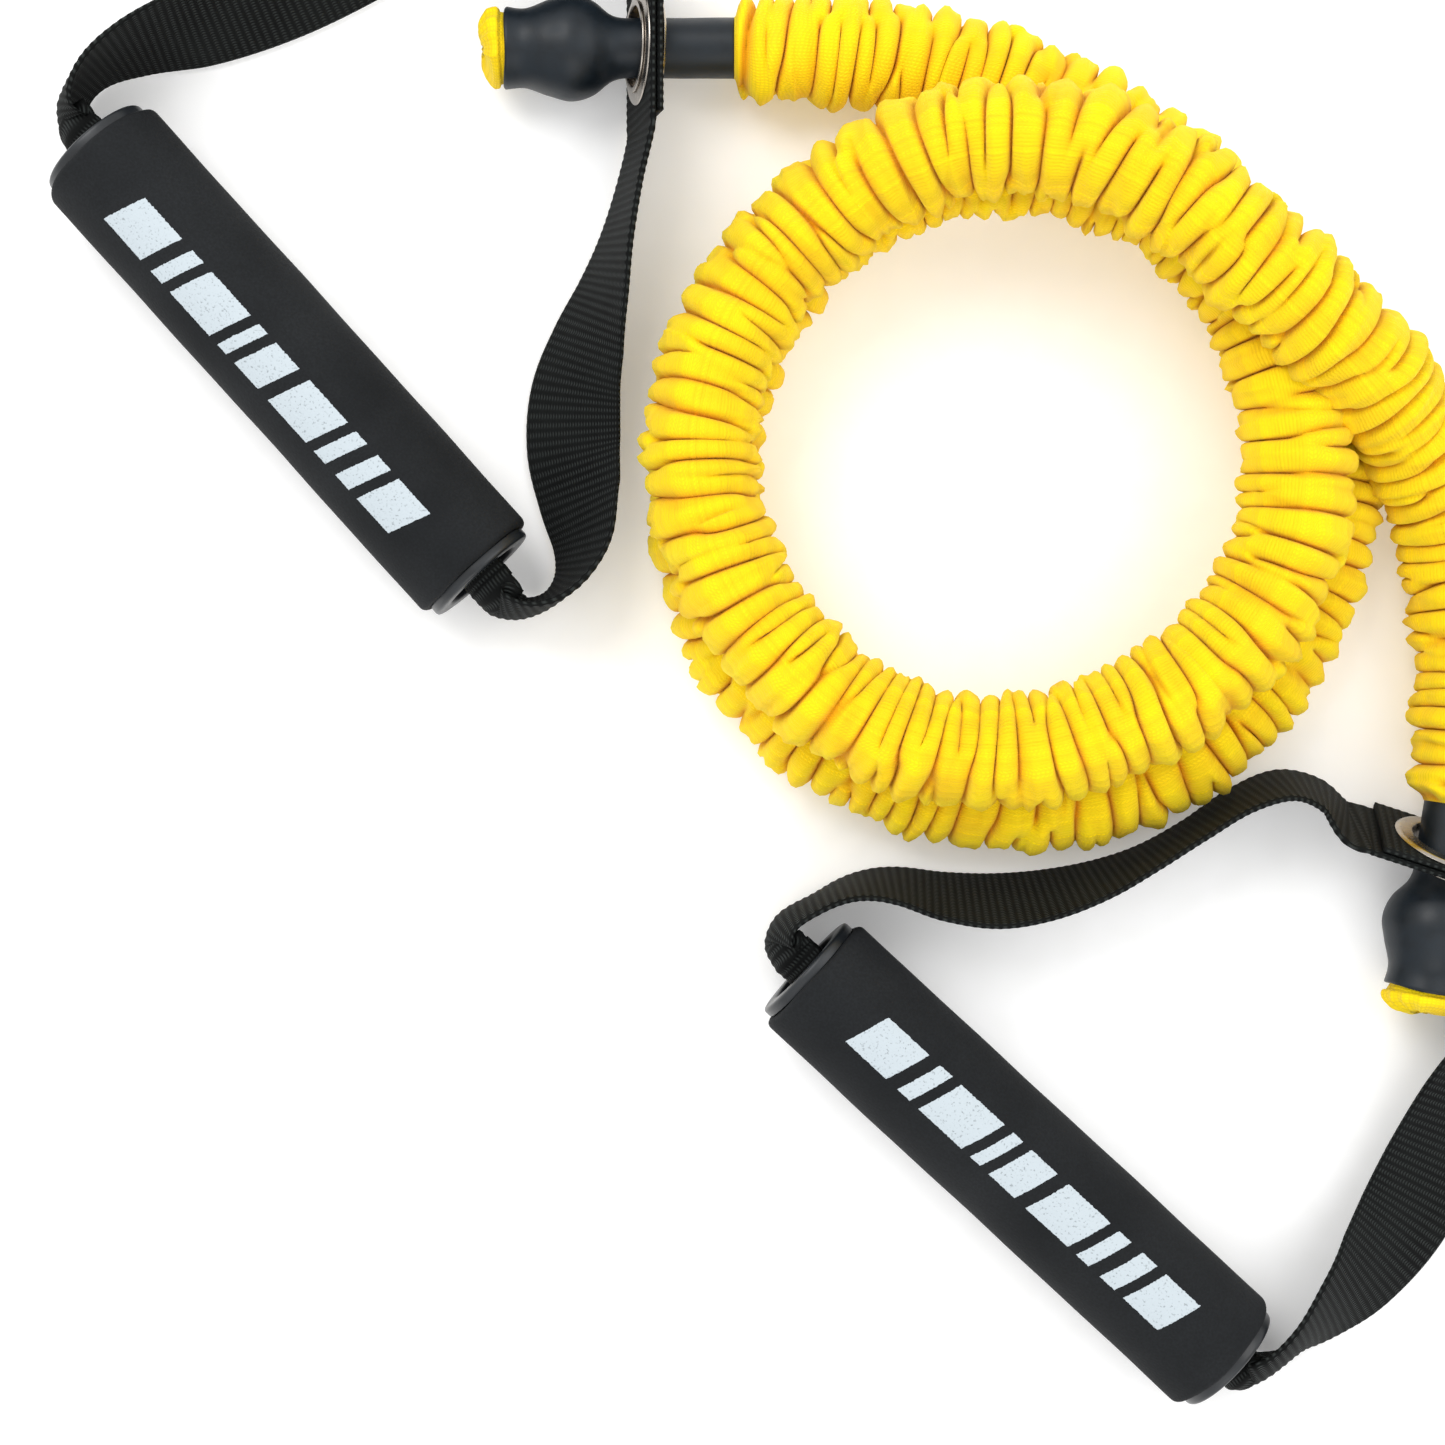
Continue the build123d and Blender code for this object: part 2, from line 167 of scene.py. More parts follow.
# Warp-knitted nylon: matt with a faint sheen from its fibre ends, and painted shade, a warmer darker
# yellow, where the folds close
def ruchedKnitMaterial():
    material, tree, place = newMaterial("warpKnittedNylon")
    uv = addNode(tree, "ShaderNodeUVMap", uv_map="fabric").outputs["UV"]
    crease = addNode(tree, "ShaderNodeAttribute", attribute_name="crease").outputs["Fac"]
    mottle = noise(tree, place, 90.0, 4.0)
    fuzz = noise(tree, place, 2600.0, 2.0)
    # Knitted ribs round the sleeve, and finer stitches across them
    ribs = bands(tree, uv, "X", knitSet["ribPitch"], 0.6)
    stitches = bands(tree, uv, "Y", knitSet["stitchPitch"], 0.8)
    weave = maths(tree, "MULTIPLY", ribs, stitches)
    lit = twoTone(tree, mottle, knitSet["deep"], knitSet["light"], 0.3, 0.7)
    # Painted shade: the knit turns to the crease colour as deep as each point lies in a crease
    creaseShadedKnit = mixed(tree, crease, lit, linearColour(knitSet["crease"]))
    # Painted shade in the grooves between the ribs and stitches
    grooveShade = remap(tree, weave, 0.0, 0.35, 0.86, 1.0)
    relief = bump(tree, weave, 0.55, knitSet["reliefDepth"])
    return shaded(material, {
        "Base Color": mixed(tree, 1.0, creaseShadedKnit, grooveShade, "MULTIPLY"),
        "Roughness": remap(tree, mottle, 0.3, 0.7, 0.72, 0.86),
        "Normal": bump(tree, fuzz, 0.25, 0.0001, relief),
        "Sheen Weight": 0.25,
        "Sheen Roughness": 0.5,
        "Sheen Tint": linearColour(knitSet["sheen"]),
        "Specular IOR Level": 0.25,
    })


sleeveKnit = ruchedKnitMaterial()

sleeveSet = {
    "length": 1.2,          # relaxed, from neck to neck
    "diameter": 0.025,
    "halfWidth": 0.0135,    # over the crests of the folds
    "halfHeight": 0.0112,
    "foldPitch": 0.0065,
    "foldSpread": 0.36,
    "foldDepth": 0.0042,
    "foldLean": 0.00085,    # how far a fold swells over its creases
    "mergeBelow": 0.62,     # folds flatten where their waves are weaker than this
    "wrinkleDepth": 0.00042,
    "lumpLength": 0.021,
    "lumpDepth": 0.0009,
    "neckRadius": 0.0073,
    "shoulder": 0.035,      # the sleeve reaches its full width this far from a neck
    "mouth": 0.0035,        # and leaves the neck's radius within this
    "tuck": 0.7,            # share of the neck's radius that its hidden edge has
    "floorGap": 0.0003,
    "restHeight": 0.0022,   # cloth lower than this is pressed flat on the floor
    "ringStep": 0.00062,
    "around": 88,
    "seed": 11,
}
leftTailRoute = [
    (-0.016, 0.139, 0.0136),
    (0.005, 0.139, 0.0136),
    (0.028, 0.136, 0.013),
    (0.0505, 0.1295, 0.0128),
    (0.0725, 0.119, 0.0128),
    (0.0925, 0.105, 0.0128),
]
rightTailRoute = [
    (0.080, 0.1025, 0.0475),
    (0.098, 0.0865, 0.0475),
    (0.1175, 0.070, 0.0425),
    (0.135, 0.0545, 0.029),
    (0.147, 0.0375, 0.0175),
    (0.1535, 0.016, 0.0134),
    (0.1559, -0.0055, 0.0128),
    (0.1549, -0.0195, 0.0136),
    (0.152, -0.0375, 0.0136),
]
coilSet = {
    "lowerCenter": (0.049, 0.037),
    "lowerRadius": 0.0745,
    "lowerHeight": 0.0118,
    "upperCenter": (0.0445, 0.043),
    "upperRadius": 0.0695,
    "upperHeight": 0.030,
    "firstAngle": 34.0,
    "climbFrom": -205.0,    # between these angles it climbs onto the lower turn
    "climbTo": -262.0,
    "exitFrom": -585.0,     # from here it rises to leave over the upper turn
    "exitHeight": 0.0455,
    "lastAngle": -640.0,
    "points": 28,
    "wander": 0.0011,       # how uneven the turns are
    "exitSwing": 0.0015,
}


def easedShare(value, start, stop):
    share = min(max((start - value) / (start - stop), 0), 1)
    return share * share * (3 - 2 * share)


def coilRoute():
    route = []
    for k in range(coilSet["points"] + 1):
        sweep = coilSet["lastAngle"] - coilSet["firstAngle"]
        angle = coilSet["firstAngle"] + sweep * k / coilSet["points"]
        climb = easedShare(angle, coilSet["climbFrom"], coilSet["climbTo"])
        leave = easedShare(angle, coilSet["exitFrom"], coilSet["lastAngle"])
        radius = coilSet["lowerRadius"] * (1 - climb) + coilSet["upperRadius"] * climb
        radius += coilSet["wander"] * math.sin(1.9 * k) + coilSet["exitSwing"] * leave
        x, y = (a * (1 - climb) + b * climb for a, b in zip(coilSet["lowerCenter"], coilSet["upperCenter"]))
        z = coilSet["lowerHeight"] * (1 - climb) + coilSet["upperHeight"] * climb
        z += (coilSet["exitHeight"] - coilSet["upperHeight"]) * leave
        turn = math.radians(angle)
        route.append((x + radius * math.cos(turn), y + radius * math.sin(turn), z))
    return route


def smoothLine(route, resolution=24):
    curve = bpy.data.curves.new("sleeveRoute", "CURVE")
    curve.dimensions = "3D"
    curve.resolution_u = resolution
    spline = curve.splines.new("NURBS")
    spline.points.add(len(route) - 1)
    for point, place in zip(spline.points, route):
        point.co = (*place, 1.0)
    spline.order_u = 3
    spline.use_endpoint_u = True
    holder = bpy.data.objects.new("sleeveRoute", curve)
    bpy.context.scene.collection.objects.link(holder)
    mesh = bpy.data.meshes.new_from_object(holder)
    line = np.array([v.co[:] for v in mesh.vertices])
    bpy.data.objects.remove(holder)
    bpy.data.meshes.remove(mesh)
    bpy.data.curves.remove(curve)
    return line


def evenLine(line, step):
    runs = np.r_[0, np.cumsum(np.linalg.norm(np.diff(line, axis=0), axis=1))]
    count = int(runs[-1] / step)
    stations = np.linspace(0, runs[-1], count + 1)
    return stations, np.stack([np.interp(stations, runs, line[:, axis]) for axis in range(3)], axis=1)


def narrowBand(random, along, turn, pitch, spread, count, twists):
    # Waves of nearly one length, each with its own twist: their sum is folds that merge and fork
    real = np.zeros((len(along), len(turn)))
    unreal = np.zeros_like(real)
    for _ in range(count):
        wave = 2 * math.pi / (pitch * (1 + spread * random.uniform(-1, 1)))
        twist = random.integers(-twists, twists + 1)
        phase = wave * along[:, None] + twist * turn[None, :] + random.uniform(0, 2 * math.pi)
        real += np.cos(phase)
        unreal += np.sin(phase)
    return np.arctan2(unreal, real), np.hypot(real, unreal) / math.sqrt(count)


def makeSleeve():
    size = sleeveSet
    random = np.random.default_rng(size["seed"])
    line = smoothLine(leftTailRoute + coilRoute() + rightTailRoute)
    along, centre = evenLine(line, size["ringStep"])
    total = along[-1]
    tangent = np.gradient(centre, along, axis=0)
    tangent /= np.linalg.norm(tangent, axis=1)[:, None]
    side = np.cross(tangent, [0, 0, 1])
    side /= np.linalg.norm(side, axis=1)[:, None]
    over = np.cross(side, tangent)
    turn = np.linspace(0, 2 * math.pi, size["around"], endpoint=False)
    phase, strength = narrowBand(random, along, turn, size["foldPitch"], size["foldSpread"], 30, 2)
    small, smallStrength = narrowBand(random, along, turn, size["foldPitch"] * 0.52, 0.3, 22, 3)
    lumps, lumpStrength = narrowBand(random, along, turn, size["lumpLength"], 0.5, 16, 2)
    strength = np.clip(strength / size["mergeBelow"], 0, 1)
    crest = np.abs(np.cos(phase / 2)) ** 0.95        # round crests, sharp creases
    crest = 1 - strength * (1 - crest)
    depth = size["foldDepth"] * (1 + 0.3 * np.cos(lumps) * np.clip(lumpStrength, 0, 1.2))
    fold = depth * (crest - 1)
    fold += size["wrinkleDepth"] * np.cos(small) * np.clip(smallStrength, 0, 1.3) * crest
    fold += size["lumpDepth"] * np.cos(lumps) * np.clip(lumpStrength, 0, 1.2)
    # The sleeve closes on the neck at each end
    toEnd = np.minimum(along, total - along)
    body = np.clip(toEnd / size["shoulder"], 0, 1) ** 0.5
    width = size["halfWidth"] * (0.86 + 0.14 * body)
    height = size["halfHeight"] * (0.93 + 0.07 * body)
    mouth = np.clip(toEnd / size["mouth"], 0, 1)
    mouth = np.sqrt(1 - (1 - mouth) ** 2)
    swell = size["foldLean"] * np.sin(phase) * strength        # along the sleeve, away from each crest
    edgeFree = np.clip((toEnd - size["mouth"]) / 0.004, 0, 1)
    cosine, sine = np.cos(turn)[None, :], np.sin(turn)[None, :]
    neck = size["neckRadius"]
    wide = neck + (width[:, None] - neck + fold) * mouth[:, None]
    tall = neck + (height[:, None] - neck + fold) * mouth[:, None]
    points = (centre[:, None, :]
              + side[:, None, :] * (wide * cosine)[:, :, None]
              + over[:, None, :] * (tall * sine)[:, :, None]
              + tangent[:, None, :] * (swell * edgeFree[:, None])[:, :, None])
    # The underside flattens smoothly towards the floor
    z, rest, room = points[:, :, 2], size["restHeight"], size["restHeight"] - size["floorGap"]
    points[:, :, 2] = np.where(z < rest, size["floorGap"] + room * np.exp((z - rest) / room), z)
    rings, around = len(along), size["around"]
    # Both ends are tucked under the rubber
    lead = centre[0] - tangent[0] * 0.002 + (points[0] - centre[0]) * size["tuck"]
    tail = centre[-1] + tangent[-1] * 0.002 + (points[-1] - centre[-1]) * size["tuck"]
    points = np.concatenate([lead[None], points, tail[None]])
    fold = np.concatenate([fold[:1], fold, fold[-1:]])
    rings += 2
    index = np.arange(rings * around).reshape(rings, around)
    following = np.roll(index, -1, axis=1)
    quads = np.stack([index[:-1], following[:-1], following[1:], index[1:]], axis=-1).reshape(-1, 4)
    faces = quads.tolist() + [index[0].tolist(), index[-1][::-1].tolist()]
    piece = meshPiece("ruchedSleeve", points.reshape(-1, 3), faces, sleeveKnit, "band")
    steps = np.linalg.norm(np.diff(points, axis=0), axis=2)
    cloth = np.concatenate([np.zeros((1, around)), np.cumsum(steps, axis=0)])
    girth = np.broadcast_to(turn[None, :] * size["diameter"] / 2, cloth.shape)
    setUvs(piece, np.stack([cloth.ravel(), girth.ravel()], axis=1))
    # Painted shade mask: how deep each point lies in a crease between folds
    setValue(piece, "crease", np.clip((-fold - 0.0009) / 0.0024, 0, 1).ravel())
    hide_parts("coil", "left_tail", "right_tail")
    print("ruched sleeve", round(total, 3), "m", rings, "rings")
    return piece


makeSleeve()


# Webbing loops: one strap each, through the grip and with both ends on the eyelet
webbingSet = {
    "width": 0.028,
    "thickness": 0.0016,
    "gap": 0.00015,
    "overhang": 0.017,
    "lead": 0.003,
    "step": 0.00042,
    "across": 26,
    "ribPitch": 0.0019,
    "beadPitch": 0.00085,
    "ribHeight": 0.00022,
    "edgeScallop": 0.00025,
    "edgeShare": 0.035,     # share of the half width that thins to the woven edge
    "holeRadius": 0.0100,
    "layerReach": 0.004,    # webbing this near the eyelet's middle has its hole
    "curlRadius": 0.0065,
    "curlShift": 0.0019,
    "curlDrop": 0.0006,
    "mouthAt": 0.0695,
    "mouthLead": 0.002,
    "floorGap": 0.0005,
    "gripHeight": 0.016,
    "shade": "040505",
    # Painted highlight on the crown of each bead
    "crown": "2B2F2E",
    "dust": "202423",
}


# Woven polypropylene, black: painted shade in the gaps and a painted highlight on the crown of each bead
def wovenWebbingMaterial():
    material, tree, place = newMaterial("wovenPolypropyleneWebbing")
    uv = addNode(tree, "ShaderNodeUVMap", uv_map="fabric").outputs["UV"]
    wear = noise(tree, place, 70.0, 4.0)
    fibre = noise(tree, place, 4200.0, 2.0)
    # Weft ribs across the strap, each a row of warp beads
    weft = bands(tree, uv, "X", webbingSet["ribPitch"], 0.0)
    warp = bands(tree, uv, "Y", webbingSet["beadPitch"], 0.5)
    beads = maths(tree, "MULTIPLY", weft, warp)
    # Black with painted shade in the gaps, and a painted highlight on each bead's crown
    yarnWithBeadLight = twoTone(tree, beads, webbingSet["shade"], webbingSet["crown"], 0.15, 0.85)
    dust = remap(tree, wear, 0.35, 0.75, 0.0, 0.3)
    relief = bump(tree, beads, 0.8, 0.0003)
    return shaded(material, {
        "Base Color": mixed(tree, dust, yarnWithBeadLight, linearColour(webbingSet["dust"])),
        "Roughness": remap(tree, beads, 0.0, 1.0, 0.78, 0.6),
        "Normal": bump(tree, fibre, 0.3, 0.0001, relief),
        "Specular IOR Level": 0.14,
    })


# Rows of the loop's middle line in millimetres: x, y, lean of its width, curl into the grip's bore
loopSet = {
    "left": {
        "neckStart": (-0.016, 0.139, 0.0136), "heading": 180.0, "eyeletAt": 0.021, "eyeletRise": 0.001,
        "eyeletLean": 13.5, "strapHeading": 90.0, "layers": (-1, 1),
        "gripCenter": (-0.120, 0.0657), "gripAngle": -47.9,
        "out": [(-38.5, 164, 80, 0), (-47, 172.5, 84, 0), (-62, 174.5, 84, 0), (-82, 169.5, 74, 0),
                (-102, 160.5, 62, 0), (-122, 152, 56, 0), (-141, 144.5, 62, 0), (-156, 139.5, 76, 0.04),
                (-167.5, 133.5, 90, 0.12), (-173.3, 126, 96, 0.3), (-173, 119, 94, 0.6)],
        "back": [(-72, 6.8, 90, 0.6), (-65.5, 6.3, 88, 0.3), (-58.5, 9.5, 82, 0.12), (-53.5, 16, 72, 0.04),
                 (-51.5, 24.5, 58, 0), (-52.5, 35, 44, 0), (-54, 46.5, 36, 0), (-53.5, 58.5, 38, 0),
                 (-50.5, 70.5, 48, 0), (-47, 82, 61, 0), (-44, 93.5, 71, 0), (-40.8, 106.5, 76, 0)],
    },
    "right": {
        "neckStart": (0.152, -0.0375, 0.0136), "heading": -99.15, "eyeletAt": 0.0113, "eyeletRise": 0.0002,
        "eyeletLean": -22.0, "strapHeading": 162.0, "layers": (1, -1),
        "gripCenter": (0.0495, -0.121), "gripAngle": -42.8,
        "out": [(127, -42, 111, 0), (121, -35.5, 106, 0), (112.5, -33, 102, 0), (102, -36.5, 98, 0),
                (91, -43.5, 96, 0), (80, -50, 98, 0), (69, -55, 104, 0), (57, -58.5, 110, 0),
                (45, -60, 113, 0), (33, -59, 110, 0), (21.5, -56.5, 104, 0), (11.5, -56.5, 98, 0.04),
                (2, -59.7, 94, 0.12), (-5.8, -64, 92, 0.3), (-8.5, -70.3, 90, 0.6)],
        "back": [(103, -173.1, 92, 0.6), (109, -170.1, 100, 0.3), (116.5, -164, 112, 0.12),
                 (125, -155.5, 128, 0.04), (133.5, -146, 144, 0), (141.5, -135, 154, 0),
                 (148.5, -122, 155, 0), (155, -108, 148, 0), (161.5, -93.5, 134, 0),
                 (167, -79, 118, 0), (169, -66, 112, 0)],
    },
}


def flatDirection(angle):
    return Vector((math.cos(math.radians(angle)), math.sin(math.radians(angle)), 0))


def widthDirection(along, lean):
    right = along.cross(Vector((0, 0, 1))).normalized()
    up = right.cross(along).normalized()
    return right * math.cos(math.radians(lean)) + up * math.sin(math.radians(lean))


def webbingHeight(lean, curl):
    size = webbingSet
    half = size["width"] / 2
    if curl > 0:
        radius = size["curlRadius"] / curl
        half = radius * math.sin(min(math.pi / 2, size["width"] / 2 / radius))
    slope = math.radians(lean)
    low = half * abs(math.sin(slope)) + size["thickness"] / 2 * abs(math.cos(slope)) + size["floorGap"]
    return low * (1 - curl) + (size["gripHeight"] - size["curlDrop"]) * curl


def eyeletPlace(side):
    middle = Vector(side["neckStart"]) + flatDirection(side["heading"]) * side["eyeletAt"]
    middle.z += side["eyeletRise"]
    along = flatDirection(side["strapHeading"])
    width = widthDirection(along, 90 - side["eyeletLean"])
    return middle, along, width, width.cross(along)


def webbingStations(side):
    size = webbingSet
    middle, along, width, normal = eyeletPlace(side)
    lean = math.degrees(math.atan2(width.z, width.dot(along.cross(Vector((0, 0, 1))))))
    axis = flatDirection(side["gripAngle"])
    aside = axis.cross(Vector((0, 0, 1))) * (size["curlRadius"] - size["curlShift"])
    bore = Vector((*side["gripCenter"], size["gripHeight"] - size["curlDrop"])) + aside
    offset = (size["thickness"] + size["gap"]) / 2
    first = middle + normal * (offset * side["layers"][0])
    last = middle + normal * (offset * side["layers"][1])
    over, lead, mouth = size["overhang"], size["lead"], size["mouthAt"]
    stations = [(*(first + along * shift), lean, 0.0) for shift in (-over, 0, over, over + lead)]
    for x, y, rowLean, curl in side["out"]:
        stations.append((x * mm, y * mm, webbingHeight(rowLean, curl), rowLean, curl))
    for shift, curl in ((-mouth - size["mouthLead"], 0.92), (-mouth, 1), (0.006 - mouth, 1),
                        (mouth - 0.006, 1), (mouth, 1), (mouth + size["mouthLead"], 0.92)):
        stations.append((*(bore + axis * shift), 90.0, curl))
    for x, y, rowLean, curl in side["back"]:
        stations.append((x * mm, y * mm, webbingHeight(rowLean, curl), rowLean, curl))
    stations += [(*(last + along * shift), lean, 0.0) for shift in (-over - lead, -over, 0, over)]
    return np.array(stations)


def smoothStations(stations, step):
    # Hermite curve whose slopes allow for unequal runs, read at even steps
    runs = np.linalg.norm(np.diff(stations[:, :3], axis=0), axis=1)
    at = np.r_[0, np.cumsum(runs)]
    slopes = np.gradient(stations, axis=0)
    for k in range(len(stations)):
        low, high = max(k - 1, 0), min(k + 1, len(stations) - 1)
        slopes[k] = (stations[high] - stations[low]) / (at[high] - at[low])
    rows = []
    for k, run in enumerate(runs):
        share = np.arange(0, 1, step / run)[:, None]
        rise = stations[k + 1] - stations[k]
        square = 3 * rise - (2 * slopes[k] + slopes[k + 1]) * run
        cube = (slopes[k] + slopes[k + 1]) * run - 2 * rise
        rows.append(stations[k] + slopes[k] * run * share + square * share ** 2 + cube * share ** 3)
    line = np.concatenate(rows + [stations[-1:]])
    along = np.r_[0, np.cumsum(np.linalg.norm(np.diff(line[:, :3], axis=0), axis=1))]
    even = np.linspace(0, along[-1], int(along[-1] / step) + 1)
    return even, np.stack([np.interp(even, along, line[:, c]) for c in range(line.shape[1])], axis=1)


def makeWebbing(name, side):
    size = webbingSet
    along, line = smoothStations(webbingStations(side), size["step"])
    centre = line[:, :3]
    tangent = np.gradient(centre, along, axis=0)
    tangent /= np.linalg.norm(tangent, axis=1)[:, None]
    right = np.cross(tangent, [0, 0, 1])
    right /= np.linalg.norm(right, axis=1)[:, None]
    up = np.cross(right, tangent)
    lean = np.radians(line[:, 3])[:, None]
    width = right * np.cos(lean) + up * np.sin(lean)
    inward = np.cross(width, tangent)
    rib = np.cos(2 * math.pi * along / size["ribPitch"])
    reach = np.linspace(-1, 1, size["across"])
    reach = np.sign(reach) * (1 - (1 - np.abs(reach)) ** 1.25)     # closer rows at the edges
    half = size["width"] / 2 - size["edgeScallop"] * (1 + rib) / 2
    spread = half[:, None] * reach[None, :]
    curl = np.clip(line[:, 4], 0.01, 1)[:, None]
    radius = size["curlRadius"] / curl
    turn = spread / radius
    place = (centre[:, None, :] + width[:, None, :] * (radius * np.sin(turn))[:, :, None]
             + inward[:, None, :] * (radius * (1 - np.cos(turn)))[:, :, None])
    normal = inward[:, None, :] * np.cos(turn)[:, :, None] - width[:, None, :] * np.sin(turn)[:, :, None]
    # Thinner at the woven edge, and lower between the ribs
    toEdge = np.clip(np.abs(reach) - 1 + size["edgeShare"], 0, 1) / size["edgeShare"]
    edgeRound = np.sqrt(np.clip(1 - toEdge ** 2 * 0.75, 0, 1))
    thick = size["thickness"] / 2 * edgeRound[None, :] - size["ribHeight"] * (1 - rib[:, None]) / 2
    outer = place - normal * thick[:, :, None]
    inner = place + normal * thick[:, :, None]
    middle, flat, across, axis = (np.array(v) for v in eyeletPlace(side))
    for sheet, sign in ((outer, -1), (inner, 1)):
        offset = sheet - middle
        x, y, deep = offset @ flat, offset @ across, offset @ axis
        distance = np.hypot(x, y)
        near = (np.abs(deep) < size["layerReach"]) & (distance < size["holeRadius"])
        push = np.where(near, size["holeRadius"] / np.maximum(distance, 1e-6), 1.0)
        sheet += ((x * (push - 1))[:, :, None] * flat + (y * (push - 1))[:, :, None] * across)
    rows, columns = outer.shape[:2]
    points = np.concatenate([outer.reshape(-1, 3), inner.reshape(-1, 3)])
    index = np.arange(rows * columns).reshape(rows, columns)
    other = index + rows * columns
    quads = [np.stack([index[:-1, :-1], index[1:, :-1], index[1:, 1:], index[:-1, 1:]], -1).reshape(-1, 4),
             np.stack([other[:-1, :-1], other[:-1, 1:], other[1:, 1:], other[1:, :-1]], -1).reshape(-1, 4),
             np.stack([index[:-1, 0], other[:-1, 0], other[1:, 0], index[1:, 0]], -1),
             np.stack([index[:-1, -1], index[1:, -1], other[1:, -1], other[:-1, -1]], -1),
             np.stack([index[0, :-1], index[0, 1:], other[0, 1:], other[0, :-1]], -1),
             np.stack([index[-1, :-1], other[-1, :-1], other[-1, 1:], index[-1, 1:]], -1)]
    quads = np.concatenate(quads)
    corners = points[quads]
    area = np.linalg.norm(np.cross(corners[:, 2] - corners[:, 0], corners[:, 3] - corners[:, 1]), axis=1)
    quads = quads[area > 1e-10]
    # No cloth inside the hole: drop faces whose corners all lie on its rim
    offset = points - middle
    onRim = ((np.abs(offset @ axis) < size["layerReach"])
             & (np.hypot(offset @ flat, offset @ across) < size["holeRadius"] + 1e-6))
    quads = quads[~onRim[quads].all(axis=1)]
    piece = meshPiece(name + "Webbing", points, quads.tolist(), webbing, name + "_loop")
    uv = np.stack(np.broadcast_arrays(along[:, None], spread), axis=-1).reshape(-1, 2)
    setUvs(piece, np.concatenate([uv, uv]))
    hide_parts(name + "_strap")
    print(name, "webbing", round(along[-1], 3), "m")
    return piece


webbing = wovenWebbingMaterial()
for sideName, sideSet in loopSet.items():
    makeWebbing(sideName, sideSet)


def turnPlace(origin, axis):
    # Z runs along the axis, X points up
    z = Vector(axis).normalized()
    x = (Vector((0, 0, 1)) - z * z.z).normalized()
    y = z.cross(x)
    return Matrix(((x.x, y.x, z.x, origin[0]), (x.y, y.y, z.y, origin[1]), (x.z, y.z, z.z, origin[2]),
                   (0, 0, 0, 1)))


def roundedOutline(corners, segments):
    # Each corner is radius, height, rounding
    outline = []
    count = len(corners)
    for k, (r, h, rounding) in enumerate(corners):
        here = Vector((r, h))
        before = Vector(corners[k - 1][:2]) - here
        after = Vector(corners[(k + 1) % count][:2]) - here
        cut = min(rounding, 0.45 * before.length, 0.45 * after.length)
        if cut <= 0:
            outline.append((r, h))
            continue
        start, stop = here + before.normalized() * cut, here + after.normalized() * cut
        for s in range(segments + 1):
            t = s / segments
            point = start * (1 - t) ** 2 + here * (2 * t * (1 - t)) + stop * t ** 2
            outline.append((point.x, point.y))
    return outline


def latheMesh(outline, around, place, shape=None, front=0.0, girth=0.01):
    # A closed outline of radius and height turned about the place's Z; front is the angle where U is 0
    outline = np.array(outline)
    turn = front - math.pi + np.linspace(0, 2 * math.pi, around, endpoint=False)
    radius = np.broadcast_to(outline[:, 0][:, None], (len(outline), around))
    height = np.broadcast_to(outline[:, 1][:, None], (len(outline), around))
    if shape is not None:
        radius, height = shape(radius, height, turn[None, :])
    local = np.stack([radius * np.cos(turn), radius * np.sin(turn), height], axis=-1).reshape(-1, 3)
    matrix = np.array(place)
    points = local @ matrix[:3, :3].T + matrix[:3, 3]
    index = np.arange(len(outline) * around).reshape(len(outline), around)
    following = np.roll(index, -1, axis=1)
    corners = [index, following, np.roll(following, -1, axis=0), np.roll(index, -1, axis=0)]
    quads = np.stack(corners, axis=-1)
    arc = np.broadcast_to((turn[None, :] - front) * girth, radius.shape)
    nextArc = arc + 2 * math.pi * girth / around
    ahead = np.roll(outline[:, 1], -1)[:, None] + 0 * arc
    here = outline[:, 1][:, None] + 0 * arc
    uv = np.stack([np.stack([arc, here], -1), np.stack([nextArc, here], -1),
                   np.stack([nextArc, ahead], -1), np.stack([arc, ahead], -1)], axis=2)
    return points, quads.reshape(-1, 4), uv.reshape(-1, 2)


def lathePiece(name, outline, around, place, material, slotName, body, nodes, **more):
    points, quads, uv = latheMesh(outline, around, place, **more)
    piece = meshPiece(name, points, quads.tolist(), material, body)
    layer = piece.data.uv_layers.new(name="fabric")
    layer.data.foreach_set("uv", uv.astype(np.float32).ravel())
    work = bmesh.new()
    work.from_mesh(piece.data)
    bmesh.ops.remove_doubles(work, verts=work.verts, dist=1e-6)
    bmesh.ops.dissolve_degenerate(work, edges=work.edges, dist=1e-7)
    work.to_mesh(piece.data)
    work.free()
    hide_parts(*nodes)
    return piece


# Foam grips, with one printed row of plain bars
foamSet = {
    "length": 0.130,
    "radius": 0.016,
    "bore": 0.0121,
    "lip": 0.0026,
    "dent": 0.00022,
    "dark": "141618",
    "light": "1E2022",
    "ink": "BFC9CF",
    "printLength": 0.098,
    "printHeight": 0.011,
    "printSlant": 0.32,
    "printTurn": {"left": 16.0, "right": 1.0},    # degrees from straight up
    "bars": [0.0, 0.13, 0.165, 0.205, 0.235, 0.37, 0.40, 0.43, 0.46, 0.54,
             0.575, 0.71, 0.74, 0.78, 0.815, 0.86, 0.89, 1.0],    # starts and ends, as shares of the length
}


